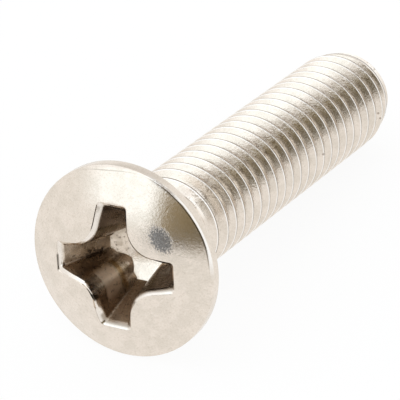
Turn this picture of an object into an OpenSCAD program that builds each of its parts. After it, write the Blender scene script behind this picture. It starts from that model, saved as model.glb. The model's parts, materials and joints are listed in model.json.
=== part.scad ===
/* [Thread] */
// Outside diameter over the thread crests
thread_diameter = 7.9; // [7.4:0.05:8.4]
// Distance along the axis from one crest to the next
thread_pitch = 1.25; // [1:0.05:1.5]
// Angle between the two flanks of a groove
thread_angle = 60; // [55:1:65]
// Flat on top of a crest, as a share of the pitch
crest_share = 0.125; // [0.1:0.005:0.18]
// Flat at the bottom of a groove, as a share of the pitch
root_share = 0.17; // [0.13:0.005:0.22]
// Length over which the first groove sinks from nothing to full depth
groove_entry = 0.8; // [0.5:0.1:1.6]
// How much lower the crests start beside the neck
crest_entry_drop = 0.45; // [0.2:0.05:0.6]
// Length over which the crests rise to their full height
crest_entry_rise = 2.8; // [1.5:0.1:4]
// Turn of the whole thread about the axis
thread_turn = 172.8; // [-180:0.1:180]

/* [Shank] */
// Length from the front edge of the rim to the middle of the tip's end
screw_length = 35.25; // [25:0.25:45]
// Length of the plain neck between the countersink and the first groove
neck_length = 0.9; // [0.6:0.1:2]
// How much wider the neck is than the thread crests, in diameter
neck_excess = 0.1; // [0.06:0.02:0.2]
// Length of the taper on the last turns of the thread
tip_taper_length = 2.2; // [1.2:0.1:3]
// Diameter that the taper would reach at the end
tip_diameter = 6.8; // [6.2:0.1:7.2]
// Width of the small bevel round the flat end
tip_bevel = 0.2; // [0.1:0.05:0.3]
// Slant of the cut-off end
end_slant = 3.3; // [0:0.1:5]
// Direction about the axis in which the slanted end reaches farthest
end_slant_turn = 31; // [-180:1:180]

/* [Head] */
// Diameter over the rim
head_diameter = 14.4; // [13.6:0.1:15.6]
// Height of the cylindrical rim between dome and countersink
rim_height = 0.87; // [0.6:0.05:1.2]
// Height of the dome above the front edge of the rim
dome_height = 1.85; // [1.5:0.05:2.2]
// Included angle of the countersink
countersink_angle = 90; // [84:1:96]
// Width of the small bevel on the front edge of the rim
rim_front_bevel = 0.15; // [0.1:0.05:0.3]
// Length of the same bevel along the rim
rim_front_bevel_length = 0.25; // [0.1:0.05:0.4]
// Width of the small bevel on the back edge of the rim
rim_back_bevel = 0.1; // [0.05:0.05:0.2]

/* [Recess] */
// Distance across two opposite wings, at the throat
recess_span = 8.75; // [8.2:0.05:9.4]
// Width of a wing at its outer end, at the throat
wing_width = 1.75; // [1.5:0.05:2.2]
// Distance between the rounded corners on opposite sides of the centre, at the throat
corner_gap = 5; // [4.6:0.05:5.6]
// Radius of the rounded corners between two wings
corner_radius = 2.3; // [1.8:0.1:2.6]
// Width of the stamped ledge between the dome and the throat
ledge_width = 0.33; // [0.2:0.01:0.5]
// Depth of the sharp step at the outer edge of the ledge
ledge_step = 0.12; // [0.05:0.01:0.2]
// Depth of the ledge where it meets the throat
ledge_depth = 0.42; // [0.25:0.01:0.5]
// Slope of a wing's outer end, from the axis
wing_slope = 26.5; // [24:0.5:28]
// Distance across two opposite wings, at their lower ends
floor_span = 5; // [4.6:0.1:5.4]
// Depth of the cone at the bottom of the recess
floor_cone_depth = 1.35; // [1:0.05:1.6]
// Turn of the recess about the axis
recess_turn = -5.8; // [-45:0.1:45]

/* [Hidden] */

// Smooth curves of the turned head
$fn = 180;
// Small overlap that joins or clears two solids
overlap = 0.4;
// Most triangles that the thread may take, and the finest step round a turn
thread_budget = 9500;
finest_steps = 40;
// Rows of points across one groove: crest edge, root edge, root edge, crest edge
rows_per_groove = 4;
// Points of one corner arc of the recess
arc_steps = 6;
// Least distance between the first or last groove's rows and the ends of the thread
row_gap = 0.04;
// Least share of its full width that a fading groove keeps
least_groove = 0.3;
// Angle by which a corner arc stops short of the sides of its wings
arc_stop = 5;
// Shares of the throat's sizes that the lower end of the recess keeps
floor_width_share = 0.56;
floor_gap_share = 0.65;
floor_radius_share = 0.6;

thread_r = thread_diameter / 2;
neck_r = thread_r + neck_excess / 2;
head_r = head_diameter / 2;
groove_side = thread_pitch * (1 - crest_share - root_share) / 2;
groove_depth = groove_side / tan(thread_angle / 2);
root_half = thread_pitch * root_share / 2;
entry_r = thread_r - crest_entry_drop;
dome_r = (head_r * head_r + dome_height * dome_height) / (2 * dome_height);
cone_end = rim_height + (head_r - neck_r) / tan(countersink_angle / 2);
neck_end = cone_end + neck_length;
entry_start = neck_end + row_gap;
taper_start = screw_length - tip_taper_length;
taper_rate = (thread_r - tip_diameter / 2) / tip_taper_length;
bevel_start = screw_length - tip_bevel;
bevel_r = thread_r - (bevel_start - taper_start) * taper_rate;
end_r = bevel_r - tip_bevel;
turns = (screw_length - neck_end) / thread_pitch;
steps = min(finest_steps, floor(thread_budget / (2 * rows_per_groove * turns)));

// Height of the dome's surface above the rim's front edge, at a distance from the axis
function dome_at(r) = sqrt(dome_r * dome_r - r * r) - (dome_r - dome_height);

// Share of the full groove depth at a place along the axis
function entry_share(s) = min(1, max(0, (s - entry_start) / groove_entry));

// Radius of the crests, lower beside the neck and along the taper of the tip
function crest_at(s) =
    thread_r
    - crest_entry_drop * max(0, 1 - (s - entry_start) / crest_entry_rise)
    - taper_rate * max(0, s - taper_start);

// How far the slanted end reaches beyond its middle, at a turn about the axis
function slant_at(turn) = tan(end_slant) * end_r * cos(turn - end_slant_turn);

// Points [place along the axis, radius] across one groove
function groove_rows(centre) =
    let (share = entry_share(centre))
    let (side = groove_side * max(share, least_groove))
    let (bottom = thread_r - groove_depth * share)
    [
        [centre - root_half - side, thread_r],
        [centre - root_half, bottom],
        [centre + root_half, bottom],
        [centre + root_half + side, thread_r]
    ];

// All points of the thread along one straight line beside the axis
function thread_line(turn) =
    let (first = thread_pitch * ((turn - thread_turn) / 360 + 0.5))
    let (skip = ceil((entry_start - first) / thread_pitch))
    let (bevel_place = bevel_start + slant_at(turn))
    concat(
        [[neck_end - overlap, entry_r], [entry_start, entry_r]],
        [
            for (g = [skip : skip + ceil(turns)])
                for (p = groove_rows(first + g * thread_pitch))
                    if (p[0] > entry_start + row_gap && p[0] < bevel_place - row_gap)
                        [p[0], min(p[1], crest_at(p[0]))]
        ],
        [[bevel_place, bevel_r], [bevel_place + tip_bevel, end_r]]
    );

lines = [for (j = [0 : steps - 1]) thread_line(360 * j / steps)];
line_starts = [for (j = 0, sum = 0; j < steps; sum = sum + len(lines[j]), j = j + 1) sum];

// Triangles between two neighbouring lines of points, worked upwards by height
function weave(a, b, a0, b0) =
    [
        for (
            i = 0, k = 0, up = a[1][0] <= b[1][0];
            i + k < len(a) + len(b) - 2;
            i = i + (up ? 1 : 0),
            k = k + (up ? 0 : 1),
            up = i + 1 < len(a) && (k + 1 >= len(b) || a[i + 1][0] <= b[k + 1][0])
        )
            up ? [a0 + i, a0 + i + 1, b0 + k] : [a0 + i, b0 + k + 1, b0 + k]
    ];

// The threaded length as one closed solid, its start hidden inside the neck
module threaded_length() {
    points = [
        for (j = [0 : steps - 1])
            for (p = lines[j])
                [p[1] * cos(360 * j / steps), p[1] * sin(360 * j / steps), p[0]]
    ];
    sides = [
        for (j = [0 : steps - 1])
            let (next = (j + 1) % steps)
                each weave(lines[j], lines[next], line_starts[j], line_starts[next])
    ];
    start_face = [for (j = [0 : steps - 1]) line_starts[j]];
    end_face = [for (j = [steps - 1 : -1 : 0]) line_starts[j] + len(lines[j]) - 1];
    polyhedron(points = points, faces = concat(sides, [start_face, end_face]));
}

// Half section of the head and neck, the axis upwards from the front edge of the rim
module head_section() {
    intersection() {
        translate([0, dome_r - dome_height])
            circle(r = dome_r);
        polygon([
            [0, -dome_height - overlap],
            [head_r - rim_front_bevel, -dome_height - overlap],
            [head_r - rim_front_bevel, -dome_at(head_r - rim_front_bevel)],
            [head_r, rim_front_bevel_length - dome_at(head_r - rim_front_bevel)],
            [head_r, rim_height - rim_back_bevel],
            [head_r - rim_back_bevel, rim_height + rim_back_bevel],
            [neck_r, cone_end],
            [neck_r, neck_end],
            [0, neck_end]
        ]);
    }
}

// Outline of the recess in one quarter, from one wing's end corner to the next wing's
function quarter(span, width, gap, radius) =
    let (centre = (gap / 2 + radius) / sqrt(2))
    concat(
        [[span / 2, width / 2]],
        [
            for (i = [0 : arc_steps])
                let (a = 270 - arc_stop - i * (90 - 2 * arc_stop) / arc_steps)
                    [centre + radius * cos(a), centre + radius * sin(a)]
        ],
        [[width / 2, span / 2]]
    );

// The whole outline, four quarters round the axis
function outline(span, width, gap, radius) =
    [
        for (q = [0 : 3])
            for (p = quarter(span, width, gap, radius))
                [p[0] * cos(90 * q) - p[1] * sin(90 * q), p[0] * sin(90 * q) + p[1] * cos(90 * q)]
    ];

// One ring of the recess: the outline at a depth below the dome
function ring(points, drop) =
    [for (p = points) [p[0], p[1], drop - dome_at(norm(p))]];

// The void of the recess, from above the dome down to its cone
module recess() {
    mouth = outline(
        recess_span + 2 * ledge_width, wing_width + 2 * ledge_width,
        corner_gap + 2 * ledge_width, corner_radius
    );
    throat = outline(recess_span, wing_width, corner_gap, corner_radius);
    floor_line = outline(
        floor_span, wing_width * floor_width_share,
        corner_gap * floor_gap_share, corner_radius * floor_radius_share
    );
    floor_height = (recess_span - floor_span) / 2 / tan(wing_slope) - dome_at(recess_span / 2);
    count = len(mouth);
    above = -dome_height - overlap;
    top_ring = [for (p = mouth) [p[0], p[1], above]];
    floor_ring = [
        for (p = floor_line)
            [p[0], p[1], floor_height + floor_cone_depth * (1 - 2 * norm(p) / floor_span)]
    ];
    rings = [top_ring, ring(mouth, ledge_step), ring(throat, ledge_depth), floor_ring];
    last = (len(rings) - 1) * count;
    points = concat([for (r = rings) each r], [[0, 0, floor_height + floor_cone_depth]]);
    top_face = [for (i = [0 : count - 1]) i];
    walls = [
        for (layer = [0 : len(rings) - 2])
            for (i = [0 : count - 1])
                let (n = (i + 1) % count)
                let (a = layer * count)
                    each [[a + i, a + count + i, a + n], [a + n, a + count + i, a + count + n]]
    ];
    cone = [for (i = [0 : count - 1]) [last + i, last + count, last + (i + 1) % count]];
    rotate([0, 0, recess_turn])
        polyhedron(points = points, faces = concat([top_face], walls, cone));
}

// The screw standing on its own axis, head downwards
module upright_screw() {
    difference() {
        union() {
            rotate_extrude()
                head_section();
            threaded_length();
        }
        recess();
    }
}

// Side that faces down when the screw lies on the rim and the thread
down_side = 90;
rim_touch = rim_height - rim_back_bevel;
touch_angles = [
    for (j = [0 : steps - 1])
        for (p = lines[j])
            if (p[0] > screw_length / 2 && cos(360 * j / steps - down_side) > 0)
                atan((head_r - p[1] * cos(360 * j / steps - down_side)) / (p[0] - rim_touch))
];
lie_angle = min(touch_angles);
lift = rim_touch * sin(lie_angle) + head_r * cos(lie_angle);
// Nearest and farthest places of the lying screw along Y, from the front edge of the rim
near_end = (dome_r - dome_height) * cos(lie_angle) - dome_r;
far_end = max([
    for (j = [0 : steps - 1])
        for (p = lines[j])
            p[0] * cos(lie_angle) - p[1] * sin(360 * j / steps) * sin(lie_angle)
]);

// The screw lying on a flat surface, its tip towards +Y
module machine_screw() {
    color([0.78, 0.74, 0.68])
        translate([0, -(near_end + far_end) / 2, lift])
            rotate([-90 - lie_angle, 0, 0])
                upright_screw();
}

machine_screw();
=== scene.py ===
"""Dresses the lying machine screw: its satin steel, the light tent round it and the camera."""

import json
import math

import bmesh
import bpy
from mathutils import Matrix, Vector


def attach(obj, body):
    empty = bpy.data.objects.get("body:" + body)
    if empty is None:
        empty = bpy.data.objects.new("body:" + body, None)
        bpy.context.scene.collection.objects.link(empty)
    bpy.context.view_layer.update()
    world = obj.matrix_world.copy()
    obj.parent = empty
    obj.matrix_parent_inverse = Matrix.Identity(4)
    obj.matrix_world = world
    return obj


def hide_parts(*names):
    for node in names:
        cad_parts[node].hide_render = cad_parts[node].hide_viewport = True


MM = 0.001
DEGREES = 180 / math.pi
NODE = "machine_screw"

# Sizes of the head, in millimetres, the screw's axis upwards from the front edge of the rim
HEAD_R = 7.2
RIM_HEIGHT = 0.87
DOME_HEIGHT = 1.85
NECK_R = 4.0
NECK_LENGTH = 0.9
SCREW_LENGTH = 35.25
RIM_FRONT_BEVEL = 0.15
RIM_FRONT_LENGTH = 0.25
RIM_BACK_BEVEL = 0.1
LIP_R = 7.05
LIP_SHARP = 0.11
LIP_BRUISE = 0.27
LIP_NICK = 0.07
LIP_FALL_SHARE = 0.7
LIP_SHIFTS = (-0.12, -0.04, -0.005)
DOME_MARGIN = 0.2

# Where the front edge of the rim is sharp, bruised and nicked, in degrees round the axis
SHARP_START = (-150, -132)
SHARP_END = (-30, -8)
BRUISE_SIDE = -101
BRUISE_REACH = 27
NICK_SIDE = -69
NICK_REACH = 5
NICK_FADE = 4
BURR_OFFSET = 6
BURR_REACH = 4
BURR_FADE = 3

# The rounded corner behind the countersink: how far out from the neck, how far past the cone
NECK_FILLET = ((0.12, -0.12), (0.03, 0.06), (0.0, 0.2))
NECK_BEVEL = 0.04
NECK_CAP_SHARE = 0.75

THREAD_R = 3.95
PITCH = 1.25
CREST_FLAT = 0.156
ROOT_FLAT = 0.2125
GROOVE_DEPTH = 0.763
GROOVE_ENTRY = 0.8
CREST_DROP = 0.45
CREST_RISE = 2.8
THREAD_TURN = math.radians(172.8)
TURNS_BEFORE_NECK_END = 1.5
THREAD_OVERLAP = 0.3
TAPER_LENGTH = 2.2
TAPER_R = 3.4
TIP_BEVEL = 0.2
END_SLANT = math.radians(3.3)
END_SLANT_TURN = math.radians(31)

RECESS_SPAN = 8.75
WING_WIDTH = 1.75
CORNER_GAP = 5.0
CORNER_RADIUS = 2.3
CORNER_ARC_START = 265
CORNER_ARC_TURN = 40
WING_SLOPE = math.radians(26.5)
FLOOR_SPAN = 5.0
FLOOR_CONE = 1.35
RECESS_TURN = math.radians(-5.8)

# How far the corners of the wings are rounded at the recess's mouth, throat and floor
MOUTH_BEND = 0.42
THROAT_BEND = 0.2
FLOOR_BEND = 0.1
# Shares of the throat's sizes that the floor of the recess keeps
FLOOR_WIDTH_SHARE = 0.56
FLOOR_GAP_SHARE = 0.7
FLOOR_RADIUS_SHARE = 0.6

# The ledge round the mouth, whose step is sharp at the left wing and left of the upper wing
LEDGE_WIDTH = 0.33
LEDGE_DEPTH = 0.42
LEDGE_STEP = 0.12
SOFT_STEP = 0.03
LEFT_STEP_SIDE = 178
LEFT_STEP_REACH = 24
UPPER_STEP_SIDE = -114
UPPER_STEP_REACH = 22
STEP_FADE = 12
LEDGE_RIM_SCALE = 1.012
LEDGE_RIM_DROP = 0.4

# Slope of the ledge as a share of its depth, its flat stretch, and where the throat begins
LEDGE_SLOPE = 0.88
FLAT_SLOPE_LOSS = 0.5
THROAT_SLOPE = 1.05
THROAT_FROM = 0.9
FLAT_THROAT_FROM = 0.95
FLAT_START = (132, 146)
FLAT_END = (160, 170)

# The corner of the recess that is smeared over, and the bead of steel pushed up there
SMEAR_SIDE = 125
SMEAR_REACH = 19
SMEAR_FADE = 9
SMEAR_SHARE = 0.42
BEAD_START = 0.17
BEAD_RISE = 0.19
BEAD_FALL = 0.5

# How the lower wing is shifted to the left, more on its left side
SHIFT_FROM = 2.0
SHIFT_LENGTH = 1.2
SHIFT_LEAST = 0.1
SHIFT_GROWTH = 0.08
SHIFT_RIGHT_SIDE = 1.3

# Fineness of the meshes, as steps or as places from nought to one across a stretch
ARC_STEPS = 5
BEND_PLACES = (0.2, 0.4, 0.6, 0.8)
LIP_STEPS = 4
RIM_BACK_STEPS = 3
CONE_STEPS = 4
DOME_STEPS = 13
LEDGE_PLACES = (0.0, 0.15, 0.35, 0.6, 0.8, 0.93, 1.0)
WALL_PLACES = (0.04, 0.2, 0.4, 0.6, 0.8, 0.96, 1.0)
FLOOR_PLACES = (0.05, 0.4, 0.75, 0.94)
THREAD_STEPS = 72
# Largest gaps that are closed between turns of the thread and in a finished piece
TURN_GAP = 0.004
PIECE_GAP = 0.0005
# Angles from which an edge stays sharp
HEAD_SHARP = math.radians(32)
THREAD_SHARP = math.radians(24)

# Marks: pits on the thread, and the crack and the scuff by their direction and place
PITS = ((3.66, -0.07, 32.91), (3.81, 0.36, 33.03), (3.88, -0.41, 23.03))
CRACK_TURN = math.radians(47)
CRACK_ALONG = 0.73
CRACK_ACROSS = 2.71
SCUFF_TURN = math.radians(45)
SCUFF_ALONG = 0.28
SCUFF_ACROSS = -4.67

DOME_R = (HEAD_R**2 + DOME_HEIGHT**2) / (2 * DOME_HEIGHT)
CONE_END = RIM_HEIGHT + HEAD_R - NECK_R
NECK_END = CONE_END + NECK_LENGTH
ROOT_R = THREAD_R - GROOVE_DEPTH
TAPER_START = SCREW_LENGTH - TAPER_LENGTH
TAPER_RATE = (THREAD_R - TAPER_R) / TAPER_LENGTH
BEVEL_R = THREAD_R - (TAPER_LENGTH - TIP_BEVEL) * TAPER_RATE
END_R = BEVEL_R - TIP_BEVEL

# The camera of the photograph: where it stands and how far in it looks
CAMERA_AZIMUTH = math.radians(29.33)
CAMERA_ELEVATION = math.radians(31.07)
CAMERA_DISTANCE = 205.14
AIM_RIGHT = 5.378
AIM_UP = 4.260
CAMERA_LENS = 265.97
SENSOR = 36.0
NEAREST_SEEN = 0.01
TABLE_SIZE = 6.0

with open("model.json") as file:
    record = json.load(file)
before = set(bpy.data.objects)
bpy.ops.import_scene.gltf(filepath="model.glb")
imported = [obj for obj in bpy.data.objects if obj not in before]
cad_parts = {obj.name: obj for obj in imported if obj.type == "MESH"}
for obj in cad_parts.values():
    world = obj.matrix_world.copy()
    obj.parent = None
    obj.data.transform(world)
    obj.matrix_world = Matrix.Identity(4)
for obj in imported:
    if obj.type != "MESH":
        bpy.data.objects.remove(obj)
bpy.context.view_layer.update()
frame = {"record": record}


def lying_pose(record):
    """The matrix that lays the upright screw down as the CAD part lies, in metres."""
    shank = next(m for m in record["mounts"] if m["name"] == "shank")
    axis = Vector(shank["axis"]).normalized()
    across = Vector((1.0, 0.0, 0.0))
    start = Vector(shank["pos_m"]) - axis * ((CONE_END + NECK_LENGTH / 2) * MM)
    turn = Matrix((across, axis.cross(across), axis)).transposed().to_4x4()
    return Matrix.Translation(start) @ turn @ Matrix.Scale(MM, 4)


POSE = lying_pose(frame["record"])


def smooth(value, low, high):
    """Goes smoothly from nought to one as the value goes from low to high."""
    t = min(1.0, max(0.0, (value - low) / (high - low)))
    return t * t * (3 - 2 * t)


def spread(first, last, count):
    """Evenly spaced places between two points, both ends included."""
    return [first.lerp(last, i / (count - 1)) for i in range(count)]


def around_degrees(place):
    return math.degrees(math.atan2(place.y, place.x))


def circle_places(around, r, z):
    return [Vector((r * math.cos(a), r * math.sin(a), z)) for a in around]


def dome_at(r):
    """Height of the dome above the rim's front edge, at a distance from the axis."""
    return math.sqrt(DOME_R**2 - r * r) - (DOME_R - DOME_HEIGHT)


def on_dome(flat, drop=0.0):
    """A place on the dome, or at a depth below it."""
    return Vector((flat.x, flat.y, drop - dome_at(flat.length)))


def recess_outline(span, width, gap, radius, corner):
    """The cross seen from above: four wings with rounded corners between them."""
    centre = (gap / 2 + radius) / math.sqrt(2)
    middle = Vector((span / 2, 0.0))
    before = Vector((span / 2, width / 2 - corner))
    after = Vector((span / 2 - corner, width / 2))
    bend = Vector((span / 2, width / 2))
    arc = []
    for i in range(ARC_STEPS + 1):
        a = math.radians(CORNER_ARC_START - CORNER_ARC_TURN * i / ARC_STEPS)
        arc.append(Vector((centre + radius * math.cos(a), centre + radius * math.sin(a))))
    half = spread(middle, before, 4)
    half += [before.lerp(bend, t).lerp(bend.lerp(after, t), t) for t in BEND_PLACES]
    half += spread(after, arc[0], 6) + arc[1:]
    quarter = half + [Vector((p.y, p.x)) for p in reversed(half[1:-1])]
    points = []
    for q in range(4):
        points += [Matrix.Rotation(q * math.pi / 2 + RECESS_TURN, 2) @ p for p in quarter]
    return points


def smear_at(place):
    """One in the middle of the corner that a driver has smeared over, nothing beside it."""
    return smooth(SMEAR_REACH - abs(around_degrees(place) - SMEAR_SIDE), 0, SMEAR_FADE)


def ledge_drop(place, t):
    """Depth below the dome across the ledge, from its step at t = 0 to the throat at 1."""
    degrees = around_degrees(place)
    left = smooth(LEFT_STEP_REACH - abs(abs(degrees) - LEFT_STEP_SIDE), 0, STEP_FADE)
    upper = smooth(UPPER_STEP_REACH - abs(degrees - UPPER_STEP_SIDE), 0, STEP_FADE)
    step = SOFT_STEP + (LEDGE_STEP - SOFT_STEP) * max(left, upper)
    flat = smooth(degrees, *FLAT_START) * (1 - smooth(degrees, *FLAT_END))
    throat_from = FLAT_THROAT_FROM if flat > 0.3 else THROAT_FROM
    slope = THROAT_SLOPE if t > throat_from else LEDGE_SLOPE - FLAT_SLOPE_LOSS * flat
    plain = step + (LEDGE_DEPTH - step) * (t * slope)
    bead = BEAD_START - BEAD_RISE * smooth(t, 0, 0.3) + BEAD_FALL * smooth(t, 0.45, 1.15)
    return plain + (bead - plain) * smear_at(place)


def worn_outline(place, inner):
    """Draws the ledge in at the smeared corner and shifts the wing beside it."""
    moved = place.lerp(inner, SMEAR_SHARE * smear_at(place))
    share = min(1.0, max(0.0, (moved.y - SHIFT_FROM) / SHIFT_LENGTH))
    moved.x -= share * (SHIFT_LEAST + SHIFT_GROWTH * (SHIFT_RIGHT_SIDE - moved.x))
    return moved


def grow_rings(bm, ring, rings):
    """Extrudes a closed ring of vertices through the given rings of places."""
    for places in rings:
        edges = [bm.edges.get((a, b)) for a, b in zip(ring, ring[1:] + ring[:1])]
        made = bmesh.ops.extrude_edge_only(bm, edges=edges)["geom"]
        fresh = {v for v in made if isinstance(v, bmesh.types.BMVert)}
        ring = [
            next(e.other_vert(v) for e in v.link_edges if e.other_vert(v) in fresh) for v in ring
        ]
        for v, place in zip(ring, places):
            v.co = place
    return ring


def lip_bruise(degrees):
    return smooth(BRUISE_REACH - abs(degrees - BRUISE_SIDE), 0, BRUISE_REACH)


def lip_radius(degrees):
    """Radius where the dome meets the rim: sharp along the top, with a bruise and a nick."""
    sharp = smooth(degrees, *SHARP_START) * (1 - smooth(degrees, *SHARP_END))
    nick = smooth(NICK_REACH - abs(degrees - NICK_SIDE), 0, NICK_FADE)
    nick -= smooth(BURR_REACH - abs(degrees - NICK_SIDE - BURR_OFFSET), 0, BURR_FADE)
    return LIP_R + LIP_SHARP * sharp - LIP_BRUISE * lip_bruise(degrees) - LIP_NICK * nick


def lip_rings(around):
    """Rings over the rim's front edge, from the dome round the bevel to the rim's side."""
    rings = []
    for shift in LIP_SHIFTS:
        rings.append([
            on_dome(Vector((math.cos(a), math.sin(a))) * (lip_radius(math.degrees(a)) + shift))
            for a in around
        ])
    for i in range(1, LIP_STEPS + 1):
        t = math.radians(90 * i / LIP_STEPS)
        ring = []
        for a in around:
            inner = lip_radius(math.degrees(a))
            fall = RIM_FRONT_BEVEL * LIP_FALL_SHARE
            fall += RIM_FRONT_LENGTH * lip_bruise(math.degrees(a))
            r = inner + (HEAD_R - inner) * math.sin(t)
            z = -dome_at(inner) + fall * (1 - math.cos(t))
            ring.append(Vector((r * math.cos(a), r * math.sin(a), z)))
        rings.append(ring)
    return rings


def head_rings():
    """Radius and height down the outside of the head, from the rim's side to the buried neck."""
    back = RIM_HEIGHT - RIM_BACK_BEVEL
    rings = [(HEAD_R, back)]
    for i in range(1, RIM_BACK_STEPS + 1):
        a = math.radians(45 * i / RIM_BACK_STEPS)
        rings.append((
            HEAD_R - RIM_BACK_BEVEL * (1 - math.cos(a)), back + RIM_BACK_BEVEL * math.sin(a)
        ))
    last_r, last_z = rings[-1]
    for i in range(1, CONE_STEPS):
        rings.append((
            last_r + (NECK_R - last_r) * i / CONE_STEPS,
            last_z + (CONE_END - last_z) * i / CONE_STEPS,
        ))
    rings += [(NECK_R + r, CONE_END + z) for r, z in NECK_FILLET]
    rings.append((NECK_R, NECK_END - NECK_BEVEL))
    rings.append((NECK_R - NECK_BEVEL, NECK_END))
    rings.append((NECK_R * NECK_CAP_SHARE, NECK_END))
    return rings


def floor_places(outline, floor_height):
    """The edge of the recess's floor, which rises to it as a low pyramid of four sides."""
    places = []
    for p in outline:
        straight = Matrix.Rotation(-RECESS_TURN, 2) @ p
        reach = max(abs(straight.x), abs(straight.y))
        rise = FLOOR_CONE * (1 - 2 * reach / FLOOR_SPAN)
        places.append(Vector((p.x, p.y, floor_height + rise)))
    return places


def recess_rings(mouth, throat):
    """Rings from the mouth over the ledge, down the walls and in over the floor."""
    floor = recess_outline(
        FLOOR_SPAN, WING_WIDTH * FLOOR_WIDTH_SHARE, CORNER_GAP * FLOOR_GAP_SHARE,
        CORNER_RADIUS * FLOOR_RADIUS_SHARE, FLOOR_BEND,
    )
    rings = [[on_dome(p * LEDGE_RIM_SCALE) for p in mouth]]
    rings.append([on_dome(p, LEDGE_RIM_DROP * ledge_drop(p, 0)) for p in mouth])
    for t in LEDGE_PLACES:
        rings.append([on_dome(p.lerp(q, t), ledge_drop(p, t)) for p, q in zip(mouth, throat)])
    floor_height = (RECESS_SPAN - FLOOR_SPAN) / 2 / math.tan(WING_SLOPE) - dome_at(RECESS_SPAN / 2)
    throat_ring = rings[-1]
    floor_ring = floor_places(floor, floor_height)
    for t in WALL_PLACES:
        rings.append([a.lerp(b, t) for a, b in zip(throat_ring, floor_ring)])
    apex = Vector((0.0, 0.0, floor_height + FLOOR_CONE))
    for t in FLOOR_PLACES:
        rings.append([a.lerp(apex, t) for a in floor_ring])
    return rings


def build_head(bm):
    """Dome, rim, countersink and neck, with the recess sunk into the dome."""
    mouth = recess_outline(
        RECESS_SPAN + 2 * LEDGE_WIDTH, WING_WIDTH + 2 * LEDGE_WIDTH, CORNER_GAP + 2 * LEDGE_WIDTH,
        CORNER_RADIUS, MOUTH_BEND,
    )
    throat = recess_outline(RECESS_SPAN, WING_WIDTH, CORNER_GAP, CORNER_RADIUS, THROAT_BEND)
    mouth = [worn_outline(p, q) for p, q in zip(mouth, throat)]
    throat = [worn_outline(p, p) for p in throat]
    around = [math.atan2(p.y, p.x) for p in mouth]
    edge_r = LIP_R - LIP_BRUISE - DOME_MARGIN
    edge = [Vector((edge_r * math.cos(a), edge_r * math.sin(a))) for a in around]
    start = bmesh.ops.create_circle(bm, segments=len(mouth), radius=edge_r)["verts"]
    for v, place in zip(start, edge):
        v.co = on_dome(place)

    sides = [circle_places(around, r, z) for r, z in head_rings()]
    outward = grow_rings(bm, start, lip_rings(around) + sides)
    bmesh.ops.contextual_create(bm, geom=outward)

    dome = []
    for i in range(1, DOME_STEPS):
        dome.append([on_dome(e.lerp(p, i / DOME_STEPS)) for e, p in zip(edge, mouth)])
    inward = grow_rings(bm, start, dome + recess_rings(mouth, throat))
    bmesh.ops.contextual_create(bm, geom=inward)


def groove_profile():
    """Height and radius across one groove, from the middle of one crest to the next."""
    half = PITCH / 2
    crest = CREST_FLAT / 2
    root = ROOT_FLAT / 2
    # from the crest round its corner, down the 60 degree flank and round into the root
    side = [
        (half, THREAD_R),
        (half - crest * 0.7, THREAD_R),
        (half - crest, THREAD_R - 0.015),
        (half - crest - 0.025, THREAD_R - 0.055),
        (half - crest - 0.14, THREAD_R - 0.255),
        (half - crest - 0.28, THREAD_R - 0.5),
        (root + 0.05, ROOT_R + 0.07),
        (root * 0.8, ROOT_R + 0.01),
        (0.0, ROOT_R),
    ]
    return [(-z, r) for z, r in side] + [(z, r) for z, r in reversed(side[:-1])]


def thread_levels(s):
    """Radius of the crests and of the groove's bottom at a place along the axis."""
    low = THREAD_R - CREST_DROP
    crest = THREAD_R - CREST_DROP * max(0.0, 1 - (s - NECK_END) / CREST_RISE)
    share = min(1.0, max(0.0, (s - NECK_END) / GROOVE_ENTRY))
    return crest, low - (low - ROOT_R) * share


def thread_radius(r, s, bevel_place):
    """Radius of a point of the full thread, once run in at the neck and trimmed at the tip."""
    crest, root = thread_levels(s)
    top = crest - TAPER_RATE * max(0.0, s - TAPER_START) - max(0.0, s - bevel_place)
    return min(root + (crest - root) * (r - ROOT_R) / GROOVE_DEPTH, top)


def wind_groove(bm):
    """One turn of the groove, wound round the axis and repeated along the shank."""
    first = NECK_END - TURNS_BEFORE_NECK_END * PITCH
    start_turn = THREAD_TURN + 2 * math.pi * (first - PITCH / 2) / PITCH
    verts = [bm.verts.new((r, 0.0, first + z)) for z, r in groove_profile()]
    edges = [bm.edges.new(pair) for pair in zip(verts, verts[1:])]
    bmesh.ops.rotate(bm, verts=verts, matrix=Matrix.Rotation(start_turn, 3, "Z"))
    bmesh.ops.spin(
        bm, geom=verts + edges, axis=(0, 0, 1), cent=(0, 0, 0), dvec=(0, 0, PITCH / THREAD_STEPS),
        angle=2 * math.pi, steps=THREAD_STEPS, use_merge=False, use_duplicate=False,
    )
    one_turn = bm.verts[:] + bm.edges[:] + bm.faces[:]
    for k in range(1, math.ceil((SCREW_LENGTH - first) / PITCH) + 1):
        copy = bmesh.ops.duplicate(bm, geom=one_turn)["geom"]
        moved = [v for v in copy if isinstance(v, bmesh.types.BMVert)]
        bmesh.ops.translate(bm, verts=moved, vec=(0, 0, PITCH * k))
    bmesh.ops.remove_doubles(bm, verts=bm.verts[:], dist=TURN_GAP)


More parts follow.
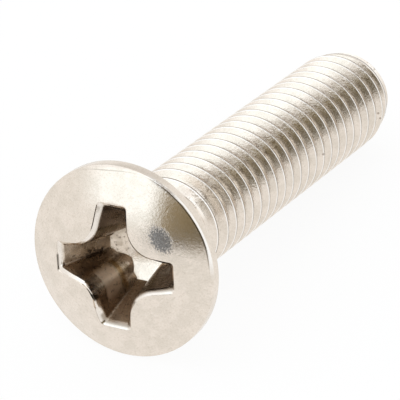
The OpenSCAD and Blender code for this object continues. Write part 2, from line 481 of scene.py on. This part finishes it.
def build_thread(bm):
    """The wound groove, run in at the neck, tapered and bevelled at the tip and cut off."""
    wind_groove(bm)
    for v in bm.verts:
        r = math.hypot(v.co.x, v.co.y)
        turn = math.atan2(v.co.y, v.co.x)
        reach = math.tan(END_SLANT) * END_R * math.cos(turn - END_SLANT_TURN)
        scale = thread_radius(r, v.co.z, SCREW_LENGTH - TIP_BEVEL + reach) / r
        v.co.x *= scale
        v.co.y *= scale
    lean = math.sin(END_SLANT)
    tip_way = (-lean * math.cos(END_SLANT_TURN), -lean * math.sin(END_SLANT_TURN), 1.0)
    tip = (0, 0, SCREW_LENGTH)
    inside_neck = (0, 0, NECK_END - THREAD_OVERLAP)
    for place, way in ((tip, tip_way), (inside_neck, (0, 0, -1))):
        geom = bm.verts[:] + bm.edges[:] + bm.faces[:]
        cut = bmesh.ops.bisect_plane(bm, geom=geom, plane_co=place, plane_no=way, clear_outer=True)
        rim = [e for e in cut["geom_cut"] if isinstance(e, bmesh.types.BMEdge)]
        bmesh.ops.holes_fill(bm, edges=rim)


def finish_piece(bm, name, material, sharp_angle):
    """Turns a bmesh into a lying piece that stands for the CAD node."""
    bmesh.ops.remove_doubles(bm, verts=bm.verts[:], dist=PIECE_GAP)
    bmesh.ops.recalc_face_normals(bm, faces=bm.faces[:])
    for face in bm.faces:
        face.smooth = True
    for edge in bm.edges:
        edge.smooth = edge.calc_face_angle(0.0) < sharp_angle
    bmesh.ops.transform(bm, matrix=POSE, verts=bm.verts[:])
    mesh = bpy.data.meshes.new(name)
    bm.to_mesh(mesh)
    bm.free()
    piece = bpy.data.objects.new(name, mesh)
    bpy.context.collection.objects.link(piece)
    mesh.materials.append(material)
    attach(piece, "root")
    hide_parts(NODE)


class Flow:
    """One output of a shader node, so that maths on it reads as plain maths."""

    def __init__(self, tree, socket):
        self.tree = tree
        self.socket = socket

    def maths(self, operation, other, swapped=False):
        pair = (other, self) if swapped else (self, other)
        return self.tree.node("ShaderNodeMath", {"operation": operation}, {0: pair[0], 1: pair[1]})

    def __add__(self, other):
        return self.maths("ADD", other)

    def __radd__(self, other):
        return self.maths("ADD", other, True)

    def __sub__(self, other):
        return self.maths("SUBTRACT", other)

    def __rsub__(self, other):
        return self.maths("SUBTRACT", other, True)

    def __mul__(self, other):
        return self.maths("MULTIPLY", other)

    def __rmul__(self, other):
        return self.maths("MULTIPLY", other, True)


class Tree:
    """A node tree with one way to add a node: its type, its settings and its inputs."""

    def __init__(self, owner):
        owner.use_nodes = True
        self.inner = owner.node_tree
        self.inner.nodes.clear()

    def node(self, kind, settings=None, inputs=None, output=0):
        made = self.inner.nodes.new(kind)
        for key, value in (settings or {}).items():
            setattr(made, key, value)
        for key, value in (inputs or {}).items():
            if isinstance(value, Flow):
                self.inner.links.new(value.socket, made.inputs[key])
            else:
                made.inputs[key].default_value = value
        return Flow(self, made.outputs[output]) if len(made.outputs) else None

    def axes(self, place):
        """The three numbers of a place."""
        return [self.node("ShaderNodeSeparateXYZ", None, {0: place}, axis) for axis in "XYZ"]

    def ramp(self, factor, low, high, start=0.0, end=1.0):
        """A number that goes smoothly from start to end as the factor goes from low to high."""
        return self.node(
            "ShaderNodeMapRange", {"interpolation_type": "SMOOTHSTEP"},
            {"Value": factor, "From Min": low, "From Max": high, "To Min": start, "To Max": end},
        )

    def band(self, factor, low, high, soft):
        """One between two values of the factor, nothing outside, with soft edges."""
        rise = self.ramp(factor, low - soft, low + soft)
        return rise * self.ramp(factor, high - soft, high + soft, 1.0, 0.0)

    def noise(self, place, scale, detail=3.0, roughness=0.6, stretch=None):
        if stretch:
            place = self.node(
                "ShaderNodeVectorMath", {"operation": "MULTIPLY"}, {0: place, 1: stretch}
            )
        return self.node(
            "ShaderNodeTexNoise", None,
            {"Vector": place, "Scale": scale, "Detail": detail, "Roughness": roughness},
        )

    def blend(self, factor, first, second):
        """Goes from the first colour to the second, the Mix node's sockets 6 and 7."""
        return self.node(
            "ShaderNodeMix", {"data_type": "RGBA"}, {0: factor, 6: first, 7: second}, 2
        )


def rgb(r, g, b):
    return (r, g, b, 1.0)


# Colours of the bare steel, of its worn places, and of painted light and painted highlights
STEEL_LIGHT = rgb(0.825, 0.74, 0.65)
STEEL_DEEP = rgb(0.755, 0.68, 0.59)
STEEL_DULL = rgb(0.62, 0.54, 0.45)
STEEL_PALE = rgb(0.88, 0.82, 0.75)
STEEL_PAINTED_LIGHT = rgb(0.97, 0.91, 0.83)
HIGHLIGHT_AND_WORN_WHITE = rgb(1.0, 0.98, 0.95)
BURR_DULL = rgb(0.50, 0.44, 0.38)
SMEAR_HIGHLIGHT = rgb(0.97, 0.94, 0.90)

# Colours of marks and dirt, and of painted shade, painted shadows and painted dark reflections
DOT_BROWN = rgb(0.45, 0.36, 0.27)
DARK_REFLECTION_BROWN = rgb(0.30, 0.24, 0.18)
LIP_DARK_REFLECTION = rgb(0.10, 0.07, 0.04)
CREST_SHADOW_BROWN = rgb(0.12, 0.08, 0.05)
STEP_SHADOW = rgb(0.07, 0.05, 0.03)
LEDGE_SHADE_BROWN = rgb(0.34, 0.28, 0.22)
PIT_BROWN = rgb(0.20, 0.14, 0.10)
CRACK_SHADOW = rgb(0.04, 0.03, 0.02)
SCUFF_DARK = rgb(0.20, 0.20, 0.205)
SCUFF_GREY = rgb(0.38, 0.37, 0.36)

# Colours inside the recess
RECESS_LIGHT = rgb(0.72, 0.62, 0.51)
RECESS_MIDDLE = rgb(0.46, 0.38, 0.29)
RECESS_LOWER = rgb(0.36, 0.275, 0.20)
RECESS_DARK = rgb(0.135, 0.094, 0.062)
RECESS_SPECK = rgb(0.12, 0.08, 0.05)
GRIME_BLACK = rgb(0.03, 0.015, 0.008)
RUBBED_CORNER = rgb(0.93, 0.76, 0.60)
RUST_RING = rgb(0.32, 0.20, 0.08)

# Where marks, painted light and painted shade lie round the axis, from and to, in degrees
LIP_SIDES = (-74, -12)
LIP_LINE_SIDES = (-72, -16)
BURR_SIDES = (-73, -57)
PAINTED_LIGHT_SIDES = (-62, -30)
DARK_REFLECTION_SIDES = (-68, -42)
BRIGHT_CREST_SIDES = (-70, -15)
RUBBED_CORNER_SIDES = (105, 146)
RUST_RING_SIDES = (98, 150)

# Where marks, painted light and painted shade lie along the axis, out from it or below the dome,
# from and to, in millimetres
FRONT_END = (0.12, 0.25)
HEAD_FRONT_END = (0.0, 0.3)
WINGS_REACH = (4.9, 5.1)
BURR_RADII = (6.95, 7.03)
LEDGE_DEPTHS = (0.05, 0.42)
SHADED_LEDGE_DEPTHS = (0.12, 0.28)
RECESS_DEPTHS = (0.25, 0.7)
RECESS_CONE_END = (6.0, 6.4)
FLOOR_HEIGHTS = (2.4, 2.6)
GRIME_HEIGHTS = (0.75, 2.15)
RUBBED_CORNER_HEIGHTS = (-0.2, 1.35)
RUST_RING_HEIGHTS = (1.5, 1.9)
CRACK_HEIGHT_END = (-1.0, -0.8)
SCUFF_HEIGHT_END = (-0.2, 0.0)
PIT_SIZE = (0.05, 0.14)

# Where marks and painted shade lie across the head: rightwards and downwards, or along and across a
# wing
SHADED_LEDGE_START = (2.9, 3.2)
FLOOR_LEFT_END = (-1.5, -1.1)
RECESS_LOWER_START = (2.2, 2.9)
RECESS_LEFT_END = (-2.4, -1.9)
RECESS_LEFT_LOW = (0.75, 0.95)
RECESS_DARK_START = (-1.5, 1.5)
STEP_ALONG = (4.63, 4.74)
STEP_ACROSS = (-0.1, 1.15)
GRIME_ALONG = (2.3, 2.6)
GRIME_ACROSS = (0.1, 0.75)

# The crack's painted shadow: its ends, the painted highlight beside it, and where it widens and
# between what halves
CRACK_ENDS = (0.4, 0.62)
SMEAR_EDGE = (-0.27, -0.15)
CRACK_WIDENS = (-0.4, 0.3)
CRACK_HALVES = (0.03, 0.14)

# The scuff: how fast it fades along, across and with the streaks, and its middle
SCUFF_FADE_ALONG = 0.75
SCUFF_FADE_ACROSS = 1.9
SCUFF_FADE_STREAKS = 2.6
SCUFF_MIDDLE = 1.35

# Thin painted highlight and painted shadow lines along every crest, as shares of the pitch from its
# middle, and how soft they are
BRIGHT_LINE = (-0.075, -0.02)
DARK_LINE = (0.0, 0.12)
LINE_SOFT = 0.012

# Fine relief of the steel
BUMP_STRENGTH = 0.4
BUMP_DEPTH = 0.02


class ScrewPlace:
    """Where a point of the steel lies on the upright screw, and its grain there."""

    def __init__(self, steel):
        start, turn, _ = POSE.decompose()
        self.point = steel.node(
            "ShaderNodeMapping", {"vector_type": "TEXTURE"},
            {
                "Vector": steel.node("ShaderNodeTexCoord", output="Object"),
                "Location": start, "Rotation": turn.to_euler(), "Scale": (MM, MM, MM),
            },
        )
        self.x, self.y, self.height = steel.axes(self.point)
        flat = steel.node(
            "ShaderNodeVectorMath", {"operation": "MULTIPLY"}, {0: self.point, 1: (1, 1, 0)}
        )
        self.radius = steel.node("ShaderNodeVectorMath", {"operation": "LENGTH"}, {0: flat}, "Value")
        angle = steel.node("ShaderNodeMath", {"operation": "ARCTAN2"}, {0: self.y, 1: self.x})
        self.side = angle * DEGREES
        # below the dome, whose curve is close to a parabola
        self.depth = self.height + DOME_HEIGHT - self.radius * self.radius * (0.5 / DOME_R)
        # one on the dome and the rim's front edge, nothing from there to the tip
        self.front = steel.ramp(self.height, *FRONT_END, 1.0, 0.0)
        # one as far from the axis as the wings of the recess reach, nothing further out
        self.within = steel.ramp(self.radius, *WINGS_REACH, 1.0, 0.0)
        # along the left wing of the recess, and across it
        self.along_wing = self.y * math.sin(-RECESS_TURN) - self.x * math.cos(RECESS_TURN)
        self.across_wing = self.y * math.cos(RECESS_TURN) - self.x * math.sin(RECESS_TURN)
        self.mottle = steel.noise(self.point, 0.9, 4.0)
        self.patch = steel.noise(self.point, 0.8, 2.0)
        self.grain = steel.noise(self.point, 3.5, 4.0, 0.7)
        self.speckle = steel.noise(self.point, 6.5, 3.0, 0.75)

    def beside(self, turn, along, across):
        """How far the point is along and across a mark, from its direction and middle."""
        return (
            self.x * math.cos(turn) + self.y * math.sin(turn) - along,
            self.y * math.cos(turn) - self.x * math.sin(turn) - across,
        )


def mottled_steel(steel, at):
    """Bare steel in two tones, with duller and paler specks and a few brown dots."""
    clean = steel.blend(steel.ramp(at.mottle, 0.35, 0.65), STEEL_LIGHT, STEEL_DEEP)
    clean = steel.blend(steel.ramp(at.speckle, 0.5, 0.7) * 0.5, clean, STEEL_DULL)
    clean = steel.blend(steel.ramp(at.speckle, 0.3, 0.45, 0.4, 0.0), clean, STEEL_PALE)
    return steel.blend(steel.ramp(at.grain, 0.66, 0.74) * 0.3, clean, DOT_BROWN)


def painted_groove_light_and_shade(steel, at, clean, threaded):
    """Grooves lightened by painted light along one side, most beside the neck, with painted dark
    blotches where a dark reflection falls.
    """
    # painted light: the grooves lightened on the side where the dark reflection falls, most beside
    # the neck
    fresh = steel.band(at.side, *PAINTED_LIGHT_SIDES, 5)
    fresh = fresh * steel.ramp(at.height, NECK_END - 0.7, NECK_END + 1.7)
    fresh = fresh * steel.ramp(at.height, NECK_END + 6.3, NECK_END + 8.7, 0.8, 0.6)
    clean = steel.blend(fresh, clean, STEEL_PAINTED_LIGHT)
    # painted dark reflection: brown blotches only on the side of the screw where the dark reflection
    # falls
    reflection_blotch = steel.band(at.side, *DARK_REFLECTION_SIDES, 5) * steel.ramp(at.grain, 0.52, 0.62) * threaded
    return steel.blend(reflection_blotch * 0.55, clean, DARK_REFLECTION_BROWN)


def crest_lines(steel, at):
    """Masks of the painted highlight and of the painted shadow line along every crest, fading at
    both ends.
    """
    phase = at.height * (1 / PITCH) - at.side * (1 / 360) + (0.5 + THREAD_TURN / (2 * math.pi))
    # nought in the middle of a crest, growing towards the tip
    phase = phase.maths("FLOORED_MODULO", 1.0) - 0.5
    crests = steel.ramp(at.height, NECK_END + 0.1, NECK_END + 0.5)
    crests = crests * steel.ramp(at.height, SCREW_LENGTH - 0.7, SCREW_LENGTH - 0.4, 1.0, 0.0)
    # painted highlight along each crest, strongest on the side where the dark reflection falls
    bright = steel.band(phase, *BRIGHT_LINE, LINE_SOFT) * crests
    bright = bright * (steel.band(at.side, *BRIGHT_CREST_SIDES, 8) * 0.35 + 0.65)
    # painted shadow: the dark line where the groove behind each crest lies in shade
    dark = steel.band(phase, *DARK_LINE, LINE_SOFT) * crests
    dark = dark * steel.ramp(at.height, NECK_END + 0.5, NECK_END + 1.5)
    return bright, dark * steel.ramp(at.grain, 0.35, 0.6, 0.7, 1.0)


def rim_lines(steel, at):
    """Masks of the painted highlight on the rim's bevel and of the painted dark reflection inside
    it.
    """
    sharp = steel.ramp(at.side, *SHARP_START) * steel.ramp(at.side, *SHARP_END, 1.0, 0.0)
    off_bruise = (at.side - BRUISE_SIDE).maths("ABSOLUTE", 0.0)
    bruise = steel.ramp(BRUISE_REACH - off_bruise, 0, BRUISE_REACH)
    off_lip = at.radius - LIP_R - sharp * LIP_SHARP + bruise * LIP_BRUISE
    # painted highlight on the rim's bevel along the lit side
    lip = steel.ramp(off_lip, -0.02, 0.0) * at.front * steel.band(at.side, *LIP_SIDES, 8)
    # painted dark reflection: the dark line just inside the rim's edge
    line = steel.band(off_lip, -0.08, -0.01, 0.015) * at.front
    along_edge = steel.band(at.side, *LIP_LINE_SIDES, 8) + bruise * 0.4
    return lip, line * along_edge.maths("MINIMUM", 1.0)


def edge_light_shade_and_burr(steel, at, clean):
    """Painted highlights on the crests, the rim's bevel and the ledge, the burr at the rim's nick,
    and the painted shadow and dark reflection lines.
    """
    bright, dark = crest_lines(steel, at)
    lip, line = rim_lines(steel, at)
    # painted highlight on the ledge round the recess's mouth
    ledge = steel.band(at.depth, *LEDGE_DEPTHS, 0.03) * at.within
    painted_highlight = bright.maths("MAXIMUM", lip * 0.9).maths("MAXIMUM", ledge * 0.25)
    # painted highlights of crests, rim bevel and ledge, in the same white as the burr's worn speckle
    clean = steel.blend(painted_highlight, clean, HIGHLIGHT_AND_WORN_WHITE)
    nick = steel.band(at.side, *BURR_SIDES, 4) * steel.ramp(at.radius, *BURR_RADII) * at.front
    burr = steel.blend(steel.ramp(at.speckle, 0.52, 0.6), BURR_DULL, HIGHLIGHT_AND_WORN_WHITE)
    clean = steel.blend(nick * 0.85, clean, burr)
    clean = steel.blend(line * 0.85, clean, LIP_DARK_REFLECTION)
    return steel.blend(dark, clean, CREST_SHADOW_BROWN)


def ledge_shadows(steel, at, clean):
    """Painted shadow on the step at the end of the left wing, and painted shade on the ledge at the
    ends of two others.
    """
    # neither painted shade reaches the back of the head
    on_front = steel.ramp(at.height, *HEAD_FRONT_END, 1.0, 0.0)
    step = steel.band(at.along_wing, *STEP_ALONG, 0.02)
    step = step * steel.band(at.across_wing, *STEP_ACROSS, 0.1)
    clean = steel.blend(step * on_front * 0.65, clean, STEP_SHADOW)
    # painted shade on the ledge at the ends of the right and lower wings
    shaded_ledge = steel.ramp(at.depth, *SHADED_LEDGE_DEPTHS) * steel.ramp(at.x + at.y, *SHADED_LEDGE_START)
    return steel.blend(shaded_ledge * on_front * at.within * 0.85, clean, LEDGE_SHADE_BROWN)


def thread_pits(steel, at, clean):
    """The dark pits on the thread."""
    for spot in PITS:
        gap = steel.node(
            "ShaderNodeVectorMath", {"operation": "DISTANCE"}, {0: at.point, 1: spot}, "Value"
        )
        clean = steel.blend(steel.ramp(gap, *PIT_SIZE, 0.6, 0.0), clean, PIT_BROWN)
    return clean


def smeared_corner(steel, at, clean):
    """Painted shadow in the crack beside the smeared corner of the recess, and a painted highlight
    along the edge of the smear.
    """
    along, across = at.beside(CRACK_TURN, CRACK_ALONG, CRACK_ACROSS)
    near = steel.ramp(along.maths("ABSOLUTE", 0.0), *CRACK_ENDS, 1.0, 0.0)
    near = near * steel.ramp(at.height, *CRACK_HEIGHT_END, 1.0, 0.0)
    # painted highlight along the edge of the smear's bead
    smear_highlight = steel.band(across, *SMEAR_EDGE, 0.02) * near
    half = steel.ramp(along, *CRACK_WIDENS, *CRACK_HALVES)
    # painted shadow: the crack is painted black
    crack = steel.ramp(across + half, -0.02, 0.02)
    crack = crack * steel.ramp(across - half, -0.02, 0.02, 1.0, 0.0) * near
    clean = steel.blend(smear_highlight * 0.8, clean, SMEAR_HIGHLIGHT)
    return steel.blend(crack * 0.95, clean, CRACK_SHADOW)


def dome_scuff(steel, at, clean):
    """The grey scuff on the dome, its border broken up by streaks, and the mask of it."""
    along, across = at.beside(SCUFF_TURN, SCUFF_ALONG, SCUFF_ACROSS)
    streaks = steel.noise(at.point, 7.0, 3.0, 0.7, (1.6, 0.9, 1.0))
    reach = along * along * SCUFF_FADE_ALONG + across * across * SCUFF_FADE_ACROSS
    reach = reach + streaks * SCUFF_FADE_STREAKS - SCUFF_MIDDLE
    scuff = steel.ramp(reach, 0.3, 1.1, 1.0, 0.0)
    scuff = scuff * steel.ramp(at.height, *SCUFF_HEIGHT_END, 1.0, 0.0)
    grey = steel.blend(steel.ramp(streaks, 0.47, 0.66), SCUFF_DARK, SCUFF_GREY)
    return steel.blend(scuff * 0.9, clean, grey), scuff


def recess_inside(steel, at):
    """One on the recess's walls, a little less at the left of its floor, nothing elsewhere."""
    inside = steel.ramp(at.depth, *RECESS_DEPTHS)
    # the countersink and the thread are further out and back than this cone
    inside = inside * steel.ramp(at.radius + at.height * 1.3, *RECESS_CONE_END, 1.0, 0.0)
    floor = steel.ramp(at.height, *FLOOR_HEIGHTS)
    return inside * (1 - floor * steel.ramp(at.x, *FLOOR_LEFT_END, 0.2, 1.0))


def recess_browns(steel, at):
    """Brown inside the recess, darkest to the upper right and at the lower wing, with grime, and the
    mask of its rubbed part.
    """
    light = steel.blend(steel.ramp(at.patch, 0.42, 0.6), RECESS_LIGHT, RECESS_MIDDLE)
    left_low = steel.ramp(at.x, *RECESS_LEFT_END, 1.0, 0.0) * steel.ramp(at.y, *RECESS_LEFT_LOW)
    lower = (steel.ramp(at.y, *RECESS_LOWER_START) + left_low).maths("MINIMUM", 1.0)
    recess_colour = steel.blend(lower, light, RECESS_LOWER)
    # the recess darkens towards its upper right
    recess_colour = steel.blend(steel.ramp(at.x - at.y, *RECESS_DARK_START), recess_colour, RECESS_DARK)
    recess_colour = steel.blend(steel.ramp(at.grain, 0.56, 0.68), recess_colour, RECESS_SPECK)
    grime = steel.band(at.across_wing, *GRIME_ACROSS, 0.2)
    grime = grime * steel.band(at.height, *GRIME_HEIGHTS, 0.2)
    grime = grime * steel.ramp(at.along_wing, *GRIME_ALONG) * steel.ramp(at.speckle, 0.4, 0.5)
    recess_colour = steel.blend(grime * 0.9, recess_colour, GRIME_BLACK)
    rubbed = steel.band(at.side, *RUBBED_CORNER_SIDES, 5)
    rubbed = rubbed * steel.band(at.height, *RUBBED_CORNER_HEIGHTS, 0.12)
    rubbed = rubbed * steel.ramp(at.grain, 0.5, 0.66, 1.0, 0.5)
    recess_colour = steel.blend(rubbed * 0.9, recess_colour, RUBBED_CORNER)
    ring = steel.band(at.side, *RUST_RING_SIDES, 5) * steel.band(at.height, *RUST_RING_HEIGHTS, 0.14)
    return steel.blend(ring * 0.8, recess_colour, RUST_RING), rubbed


def steel_material():
    """Satin stainless steel, slightly warm, worn and marked, with painted highlights, painted shade
    and painted dark reflections, and browner in its recess.
    """
    material = bpy.data.materials.new("satin_steel")
    steel = Tree(material)
    at = ScrewPlace(steel)
    threaded = steel.ramp(at.height, NECK_END - 0.02, NECK_END + 0.02)
    inside = recess_inside(steel, at)

    clean = painted_groove_light_and_shade(steel, at, mottled_steel(steel, at), threaded)
    clean = ledge_shadows(steel, at, edge_light_shade_and_burr(steel, at, clean))
    clean = smeared_corner(steel, at, thread_pits(steel, at, clean))
    clean, scuff = dome_scuff(steel, at, clean)
    recess_colour, rubbed = recess_browns(steel, at)

    rough = steel.ramp(at.mottle, 0.3, 0.7, 0.13, 0.2) + inside * (rubbed * 0.2 + 0.1)
    relief = at.speckle * (threaded * 0.5 + 1.0) + at.grain * threaded * 0.6
    relief = relief + scuff * at.speckle * 2.0
    bump = steel.node(
        "ShaderNodeBump", None,
        {"Strength": BUMP_STRENGTH, "Distance": BUMP_DEPTH * MM, "Height": relief},
    )
    shader = steel.node(
        "ShaderNodeBsdfPrincipled", None,
        {
            "Base Color": steel.blend(inside, clean, recess_colour), "Metallic": 1.0,
            "Roughness": rough, "Normal": bump,
        },
    )
    steel.node("ShaderNodeOutputMaterial", None, {"Surface": shader})
    return material


WHITE = rgb(1.0, 1.0, 1.0)
TABLE_PAINT = rgb(0.85, 0.84, 0.82)
TABLE_GLOW = 0.92


def seen_ray(tree):
    """One for the rays that look at a thing, straight or in a gloss or a glass."""
    kinds = ("Is Camera Ray", "Is Glossy Ray", "Is Transmission Ray")
    straight, gloss, glass = (tree.node("ShaderNodeLightPath", output=kind) for kind in kinds)
    return straight.maths("MAXIMUM", gloss).maths("MAXIMUM", glass)


def table_material():
    """A plain white table that is seen as white and still takes the screw's soft shadow."""
    material = bpy.data.materials.new("white_table")
    table = Tree(material)
    paint = table.node("ShaderNodeBsdfDiffuse", None, {"Color": TABLE_PAINT})
    white = table.node("ShaderNodeBsdfDiffuse", None, {"Color": WHITE})
    glow = table.node("ShaderNodeEmission", None, {"Color": WHITE, "Strength": 1.0})
    seen = table.node("ShaderNodeMixShader", None, {0: TABLE_GLOW, 1: white, 2: glow})
    both = table.node("ShaderNodeMixShader", None, {0: seen_ray(table), 1: paint, 2: seen})
    table.node("ShaderNodeOutputMaterial", None, {"Surface": both})
    return material


# Colours of the light tent's cloth and of what shows through its opening
CLOTH_ABOVE = rgb(1.24, 1.28, 1.34)
CLOTH_BOX = rgb(1.36, 1.46, 1.53)
CLOTH_BEHIND = rgb(0.20, 0.17, 0.14)
CLOTH_ASIDE = rgb(0.38, 0.34, 0.28)
OPENING_LEFT = rgb(0.34, 0.28, 0.175)
OPENING_RIGHT = rgb(0.22, 0.18, 0.11)
OPENING_CORNER = rgb(0.10, 0.115, 0.13)
OPENING_CORE = rgb(0.09, 0.08, 0.06)

# Directions in the light tent, in degrees: round from the front to the right, and up from level
BOX_START = (-58, -36)
BOX_END = (-6, -1)
BOX_FOOT = (2, 14)
ABOVE_START = (-140, -120)
ABOVE_END = (55, 70)
ABOVE_FOOT = (10, 45)
OPENING_START = (-6, -1)
OPENING_END = (33, 46)
OPENING_FOOT = (-5.5, -2.5)
OPENING_TOP = (29, 36)
OPENING_CHANGE = (-4, 24)
CORNER_ROUND = (-7, 15)
CORNER_UP = (-5, 4)
CORE_ROUND = (24, 35)
CORE_UP = (3, 22)
BEHIND_ROUND = (-176, -115)
BEHIND_UP = (20, 60)
ASIDE_ROUND = (60, 125)
ASIDE_FOOT = (38, 58)


def tent_cloth(tent, azimuth, lift):
    """Colour of the tent in a direction: white, with bright and dark fields."""
    above = tent.ramp(azimuth, *ABOVE_START) * tent.ramp(azimuth, *ABOVE_END, 1.0, 0.0)
    above = above * tent.ramp(lift, *ABOVE_FOOT)
    cloth = tent.blend(above, WHITE, CLOTH_ABOVE)
    box = tent.ramp(azimuth, *BOX_START) * tent.ramp(azimuth, *BOX_END, 1.0, 0.0)
    cloth = tent.blend(box * tent.ramp(lift, *BOX_FOOT), cloth, CLOTH_BOX)
    behind = tent.band(azimuth, *BEHIND_ROUND, 10) * tent.band(lift, *BEHIND_UP, 10)
    cloth = tent.blend(behind * 0.25, cloth, CLOTH_BEHIND)

    opening = tent.ramp(azimuth, *OPENING_START) * tent.ramp(azimuth, *OPENING_END, 1.0, 0.0)
    opening = opening * tent.ramp(lift, *OPENING_FOOT) * tent.ramp(lift, *OPENING_TOP, 1.0, 0.0)
    dark = tent.blend(tent.ramp(azimuth, *OPENING_CHANGE), OPENING_LEFT, OPENING_RIGHT)
    cloth = tent.blend(opening, cloth, dark)
    corner = tent.band(azimuth, *CORNER_ROUND, 4) * tent.band(lift, *CORNER_UP, 3)
    cloth = tent.blend(corner, cloth, OPENING_CORNER)
    core = tent.band(azimuth, *CORE_ROUND, 4) * tent.band(lift, *CORE_UP, 5)
    cloth = tent.blend(core, cloth, OPENING_CORE)
    aside = tent.band(azimuth, *ASIDE_ROUND, 8) * tent.ramp(lift, *ASIDE_FOOT)
    return tent.blend(aside, cloth, CLOTH_ASIDE)


def light_tent():
    """White cloth all round, brighter above and front left, open and dark at the front right."""
    world = bpy.data.worlds.new("light_tent")
    bpy.context.scene.world = world
    tent = Tree(world)
    x, y, z = tent.axes(tent.node("ShaderNodeTexCoord", output="Generated"))
    azimuth = tent.node("ShaderNodeMath", {"operation": "ARCTAN2"}, {0: x, 1: 0 - y}) * DEGREES
    lift = tent.node("ShaderNodeMath", {"operation": "ARCSINE"}, {0: z}) * DEGREES
    cloth = tent_cloth(tent, azimuth, lift)
    lit = tent.node("ShaderNodeBackground", None, {"Color": cloth, "Strength": 1.0})
    plain = tent.node("ShaderNodeBackground", None, {"Color": WHITE, "Strength": 1.0})
    straight = tent.node("ShaderNodeLightPath", output="Is Camera Ray")
    both = tent.node("ShaderNodeMixShader", None, {0: straight, 1: lit, 2: plain})
    tent.node("ShaderNodeOutputWorld", None, {"Surface": both})


def set_table():
    bpy.ops.mesh.primitive_plane_add(size=TABLE_SIZE, location=(0, 0, 0))
    table = bpy.context.object
    table.name = "table"
    table.data.materials.append(table_material())


def set_camera():
    """The photograph's camera: a long lens that looks down on the head from its right."""
    a, e = CAMERA_AZIMUTH, CAMERA_ELEVATION
    right = Vector((math.cos(a), math.sin(a), 0.0))
    back = Vector((math.sin(a) * math.cos(e), -math.cos(a) * math.cos(e), math.sin(e)))
    up = back.cross(right)
    aim = POSE.translation + (right * AIM_RIGHT + up * AIM_UP) * MM
    data = bpy.data.cameras.new("camera")
    data.lens = CAMERA_LENS
    data.sensor_width = SENSOR
    data.clip_start = NEAREST_SEEN
    camera = bpy.data.objects.new("camera", data)
    bpy.context.collection.objects.link(camera)
    turn = Matrix((right, up, back)).transposed().to_4x4()
    camera.matrix_world = Matrix.Translation(aim + back * CAMERA_DISTANCE * MM) @ turn
    bpy.context.scene.camera = camera


steel = steel_material()

head = bmesh.new()
build_head(head)
finish_piece(head, "screw_head", steel, HEAD_SHARP)

shank = bmesh.new()
build_thread(shank)
finish_piece(shank, "screw_thread", steel, THREAD_SHARP)

set_table()
light_tent()
set_camera()
bpy.context.scene.view_settings.view_transform = "Standard"
